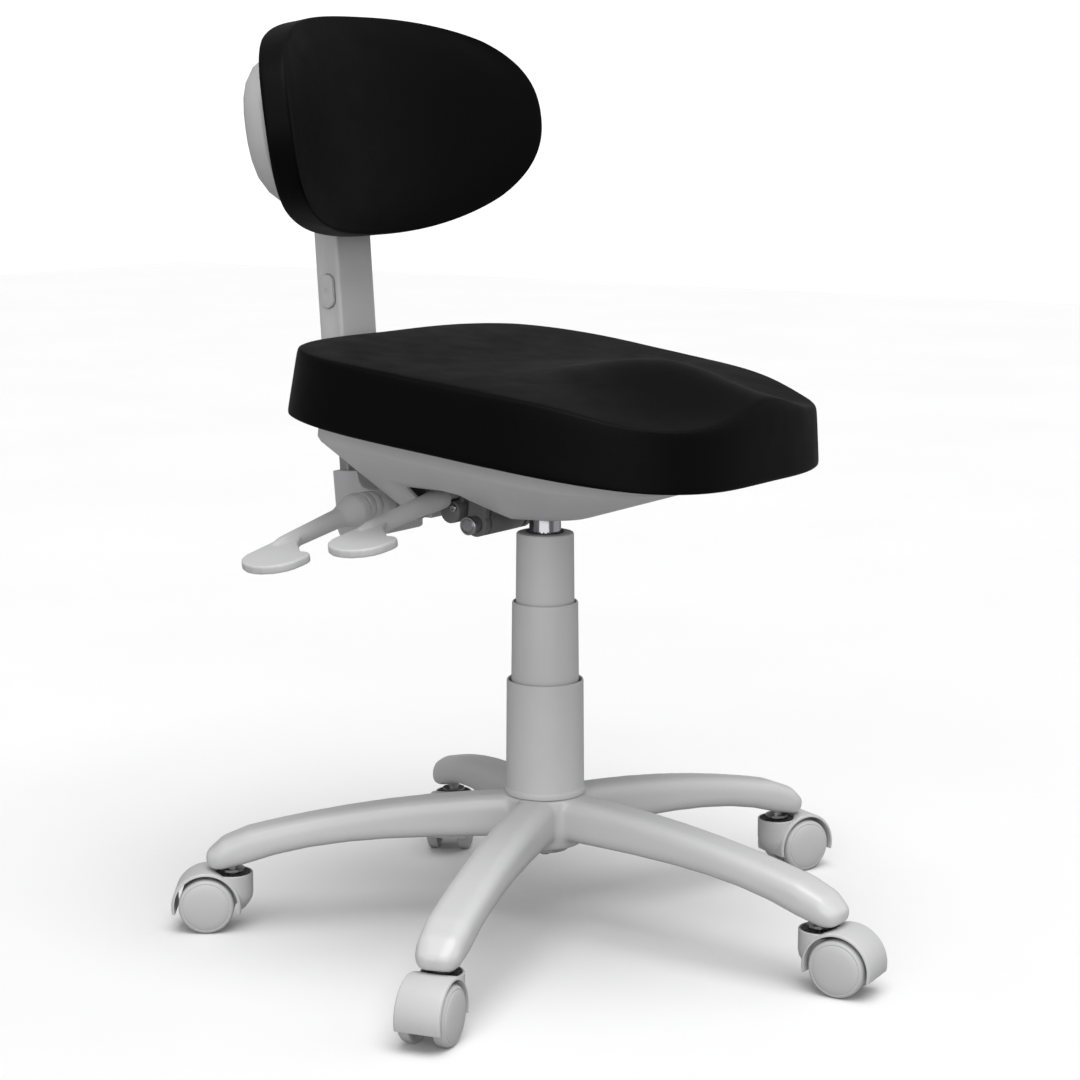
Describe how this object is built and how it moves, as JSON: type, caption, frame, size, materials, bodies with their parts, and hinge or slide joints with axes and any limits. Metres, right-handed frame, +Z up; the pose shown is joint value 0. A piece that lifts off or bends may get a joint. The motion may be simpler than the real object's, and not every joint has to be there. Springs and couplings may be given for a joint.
{
  "type": "saddle stool",
  "caption": "Height-adjustable saddle stool with backrest: contoured black seat, light grey star base on twin-wheel swivel casters, telescopic gas column and two paddle levers.",
  "frame": {"origin": "centre of the bounding box in X and Y, on the floor", "axes": "+Z up, the sitter faces -Y, the levers are on the sitter's right at -X"},
  "size_m": [0.6454, 0.6152, 0.8071],
  "materials": {
    "upholstery": "matte black vinyl",
    "light_plastic": "satin light grey",
    "painted": "satin light grey paint",
    "steel": "plain steel",
    "chrome": "polished",
    "dark_cast": "dark coated",
    "dark_plastic": "dark",
    "plywood": "bare"
  },
  "bodies": {
    "base": {"star_base": "painted", "column_tube": "steel", "column_bush": "dark_plastic", "thrust_bearing": "steel", "cover_lower": "light_plastic"},
    "column": {"piston_rod": "chrome", "rod_clip": "steel"},
    "lift": {"gas_cylinder": "chrome", "mechanism_block": "dark_cast", "tilt_shaft": "steel"},
    "cover_middle": {"cover_middle": "light_plastic"},
    "cover_upper": {"cover_upper": "light_plastic"},
    "valve": {"valve_pin": "steel"},
    "height_lever": {"height_lever": "light_plastic"},
    "seat": {"seat_frame": "dark_cast", "seat_board": "plywood", "seat_bolt_1": "steel", "seat_bolt_2": "steel", "seat_bolt_3": "steel", "seat_bolt_4": "steel", "seat_pan": "light_plastic", "seat_cushion": "upholstery", "back_pivot_pin": "steel"},
    "back": {"back_arm": "painted", "back_bar": "steel"},
    "tilt_lever": {"tilt_lever": "light_plastic"},
    "backrest": {"back_sleeve": "light_plastic", "back_shell": "light_plastic", "back_board": "plywood", "back_cushion": "upholstery"},
    "latch": {"latch_button": "light_plastic"},
    "caster_rear_right": {"caster_stem_rear_right": "steel", "caster_hood_rear_right": "light_plastic", "caster_axle_rear_right": "steel"},
    "wheel_a_rear_right": {"wheel_a_rear_right": "light_plastic"},
    "wheel_b_rear_right": {"wheel_b_rear_right": "light_plastic"},
    "caster_right": {"caster_stem_right": "steel", "caster_hood_right": "light_plastic", "caster_axle_right": "steel"},
    "wheel_a_right": {"wheel_a_right": "light_plastic"},
    "wheel_b_right": {"wheel_b_right": "light_plastic"},
    "caster_front": {"caster_stem_front": "steel", "caster_hood_front": "light_plastic", "caster_axle_front": "steel"},
    "wheel_a_front": {"wheel_a_front": "light_plastic"},
    "wheel_b_front": {"wheel_b_front": "light_plastic"},
    "caster_left": {"caster_stem_left": "steel", "caster_hood_left": "light_plastic", "caster_axle_left": "steel"},
    "wheel_a_left": {"wheel_a_left": "light_plastic"},
    "wheel_b_left": {"wheel_b_left": "light_plastic"},
    "caster_rear_left": {"caster_stem_rear_left": "steel", "caster_hood_rear_left": "light_plastic", "caster_axle_rear_left": "steel"},
    "wheel_a_rear_left": {"wheel_a_rear_left": "light_plastic"},
    "wheel_b_rear_left": {"wheel_b_rear_left": "light_plastic"}
  },
  "joints": [
    {"name": "column_swivel", "type": "hinge", "parent": "base", "child": "column", "pos_m": [0, 0.0273, 0.2], "axis": [0, 0, 1], "continuous": true},
    {"name": "seat_lift", "type": "slide", "parent": "column", "child": "lift", "axis": [0, 0, 1], "range_m": [-0.12, 0.02]},
    {"name": "cover_middle_slide", "type": "slide", "parent": "base", "child": "cover_middle", "axis": [0, 0, 1], "range_m": [-0.0545, 0.0095]},
    {"name": "cover_upper_slide", "type": "slide", "parent": "base", "child": "cover_upper", "axis": [0, 0, 1], "range_m": [-0.1085, 0.0185]},
    {"name": "seat_tilt", "type": "hinge", "parent": "lift", "child": "seat", "pos_m": [0, 0.0773, 0.3665], "axis": [1, 0, 0], "range_deg": [-7, 1]},
    {"name": "back_tilt", "type": "hinge", "parent": "seat", "child": "back", "pos_m": [0, 0.1433, 0.3735], "axis": [1, 0, 0], "range_deg": [-15, 3]},
    {"name": "back_height", "type": "slide", "parent": "back", "child": "backrest", "axis": [0, 0.0663, 0.9978], "range_m": [-0.015, 0.06]},
    {"name": "latch_press", "type": "slide", "parent": "backrest", "child": "latch", "axis": [1, 0, 0], "range_m": [0, 0.0025], "stiffness_N_per_m": 400, "springref_m": -0.002},
    {"name": "height_lever_lift", "type": "hinge", "parent": "lift", "child": "height_lever", "pos_m": [-0.03, 0.1013, 0.3905], "axis": [0, 1, 0], "range_deg": [0, 5], "stiffness_Nm_per_rad": 2, "springref_deg": -8.59},
    {"name": "valve_press", "type": "slide", "parent": "lift", "child": "valve", "axis": [0, 0, -1], "range_m": [0, 0.002]},
    {"name": "tilt_lever_lift", "type": "hinge", "parent": "back", "child": "tilt_lever", "pos_m": [-0.03, 0.1813, 0.3755], "axis": [0, 1, 0], "range_deg": [0, 8], "stiffness_Nm_per_rad": 2, "springref_deg": -8.59},
    {"name": "swivel_rear_right", "type": "hinge", "parent": "base", "child": "caster_rear_right", "pos_m": [-0.16458, 0.25383, 0.05], "axis": [0, 0, 1], "continuous": true},
    {"name": "roll_a_rear_right", "type": "hinge", "parent": "caster_rear_right", "child": "wheel_a_rear_right", "pos_m": [-0.17812, 0.27179, 0.02475], "axis": [-0.7986, -0.6018, 0], "continuous": true},
    {"name": "roll_b_rear_right", "type": "hinge", "parent": "caster_rear_right", "child": "wheel_b_rear_right", "pos_m": [-0.17812, 0.27179, 0.02475], "axis": [-0.7986, -0.6018, 0], "continuous": true},
    {"name": "swivel_right", "type": "hinge", "parent": "base", "child": "caster_right", "pos_m": [-0.2663, -0.05922, 0.05], "axis": [0, 0, 1], "continuous": true},
    {"name": "roll_a_right", "type": "hinge", "parent": "caster_right", "child": "wheel_a_right", "pos_m": [-0.28808, -0.06486, 0.02475], "axis": [0.2504, -0.9681, 0], "continuous": true},
    {"name": "roll_b_right", "type": "hinge", "parent": "caster_right", "child": "wheel_b_right", "pos_m": [-0.28808, -0.06486, 0.02475], "axis": [0.2504, -0.9681, 0], "continuous": true},
    {"name": "swivel_front", "type": "hinge", "parent": "base", "child": "caster_front", "pos_m": [0, -0.2527, 0.05], "axis": [0, 0, 1], "continuous": true},
    {"name": "roll_a_front", "type": "hinge", "parent": "caster_front", "child": "wheel_a_front", "pos_m": [0.00196, -0.27511, 0.02475], "axis": [0.9962, 0.0872, 0], "continuous": true},
    {"name": "roll_b_front", "type": "hinge", "parent": "caster_front", "child": "wheel_b_front", "pos_m": [0.00196, -0.27511, 0.02475], "axis": [0.9962, 0.0872, 0], "continuous": true},
    {"name": "swivel_left", "type": "hinge", "parent": "base", "child": "caster_left", "pos_m": [0.2663, -0.05922, 0.05], "axis": [0, 0, 1], "continuous": true},
    {"name": "roll_a_left", "type": "hinge", "parent": "caster_left", "child": "wheel_a_left", "pos_m": [0.28701, -0.06802, 0.02475], "axis": [0.3907, 0.9205, 0], "continuous": true},
    {"name": "roll_b_left", "type": "hinge", "parent": "caster_left", "child": "wheel_b_left", "pos_m": [0.28701, -0.06802, 0.02475], "axis": [0.3907, 0.9205, 0], "continuous": true},
    {"name": "swivel_rear_left", "type": "hinge", "parent": "base", "child": "caster_rear_left", "pos_m": [0.16458, 0.25383, 0.05], "axis": [0, 0, 1], "continuous": true},
    {"name": "roll_a_rear_left", "type": "hinge", "parent": "caster_rear_left", "child": "wheel_a_rear_left", "pos_m": [0.14471, 0.24326, 0.02475], "axis": [0.4695, -0.8829, 0], "continuous": true},
    {"name": "roll_b_rear_left", "type": "hinge", "parent": "caster_rear_left", "child": "wheel_b_rear_left", "pos_m": [0.14471, 0.24326, 0.02475], "axis": [0.4695, -0.8829, 0], "continuous": true}
  ],
  "couplings": [
    {"joint": "cover_middle_slide", "follows": "seat_lift", "ratio": 0.45},
    {"joint": "cover_upper_slide", "follows": "seat_lift", "ratio": 0.9},
    {"joint": "valve_press", "follows": "height_lever_lift", "m_per_rad": 0.0229}
  ]
}
